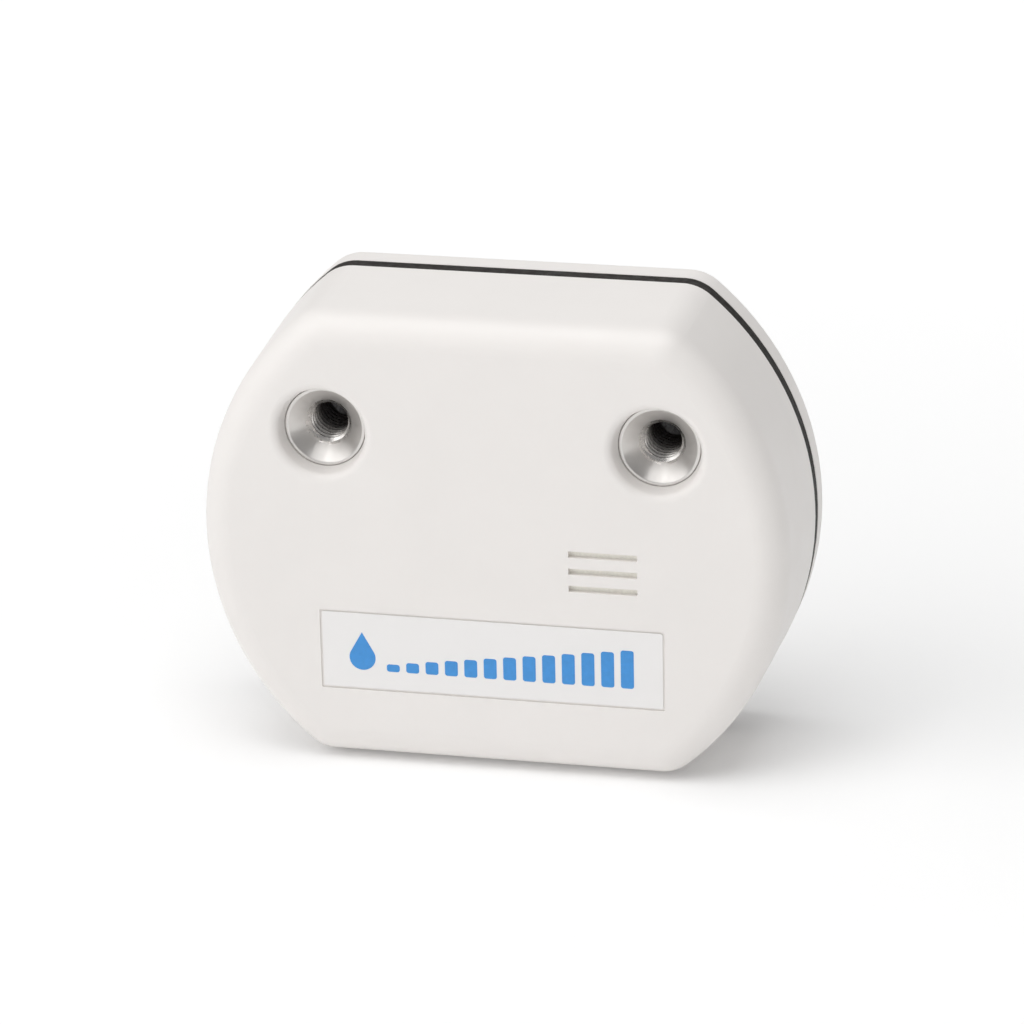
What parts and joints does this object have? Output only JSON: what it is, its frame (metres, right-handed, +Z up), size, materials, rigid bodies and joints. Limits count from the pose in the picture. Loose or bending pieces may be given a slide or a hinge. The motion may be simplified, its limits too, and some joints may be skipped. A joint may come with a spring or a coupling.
{
  "type": "wireless wood moisture meter",
  "caption": "Sealed pocket moisture meter with threaded probe sockets on its face, a vent, a screwed back cover and a replaceable cell.",
  "frame": {"origin": "centre of the lower flat the meter stands on, at the middle of its depth", "axes": "+X along the width, +Y from the probe face towards the back cover, +Z up"},
  "size_m": [0.068, 0.0226, 0.054],
  "materials": {
    "shell": "fine satin",
    "cover": "fine satin",
    "gasket": "matt",
    "label": "satin film",
    "rating": "satin film",
    "socket": "turned stainless",
    "seal": "matt",
    "washer": "turned stainless",
    "nut": "turned stainless",
    "board": "solder mask",
    "board_screw": "zinc plated",
    "cover_screw": "stainless",
    "insert": "knurled",
    "controller": "moulded",
    "meter_chip": "moulded",
    "sensor": "moulded",
    "radio_board": "solder mask",
    "shield": "drawn sheet",
    "antenna": "plated wire",
    "capacitor": "drawn can",
    "crystal": "plated lid",
    "lamp": "clear lens",
    "button_base": "moulded",
    "button": "moulded",
    "resistor": "ceramic",
    "chip_cap": "ceramic",
    "holder": "moulded",
    "cell": "shrink sleeve",
    "spring": "nickel plated",
    "pad": "foam",
    "contact": "nickel plated",
    "membrane": "felt",
    "collar": "foam"
  },
  "bodies": {
    "housing": {"front_shell": "shell", "cover_gasket": "gasket", "front_label": "label", "probe_socket_left": "socket", "probe_socket_right": "socket", "socket_seal_left": "seal", "socket_seal_right": "seal", "socket_washers": "washer", "socket_nuts": "nut", "main_board": "board", "board_screws": "board_screw", "cover_inserts": "insert", "microcontroller": "controller", "measuring_chip": "meter_chip", "humidity_sensor": "sensor", "radio_board": "radio_board", "radio_shield": "shield", "antenna_coil": "antenna", "storage_capacitor": "capacitor", "crystal": "crystal", "status_lamp": "lamp", "button_base": "button_base", "chip_resistors": "resistor", "chip_capacitors": "chip_cap", "battery_holder": "holder", "battery_spring": "spring", "negative_contact": "contact", "positive_contact": "contact", "vent_membrane": "membrane", "vent_collar": "collar"},
    "cover": {"back_cover": "cover", "cover_screws": "cover_screw", "battery_pad": "pad", "rating_label": "rating"},
    "cell": {"battery_cell": "cell"},
    "button": {"pairing_button": "button"}
  },
  "joints": [
    {"name": "cover_lift", "type": "slide", "parent": "housing", "child": "cover", "axis": [0, 1, 0], "range_m": [0, 0.03]},
    {"name": "battery_lift", "type": "slide", "parent": "housing", "child": "cell", "axis": [0, 1, 0], "range_m": [0, 0.015]},
    {"name": "button_press", "type": "slide", "parent": "housing", "child": "button", "axis": [0, -1, 0], "range_m": [0, 0.00025], "stiffness_N_per_m": 6000}
  ],
  "couplings": [
    {"joint": "battery_lift", "follows": "cover_lift", "ratio": 0.5}
  ]
}
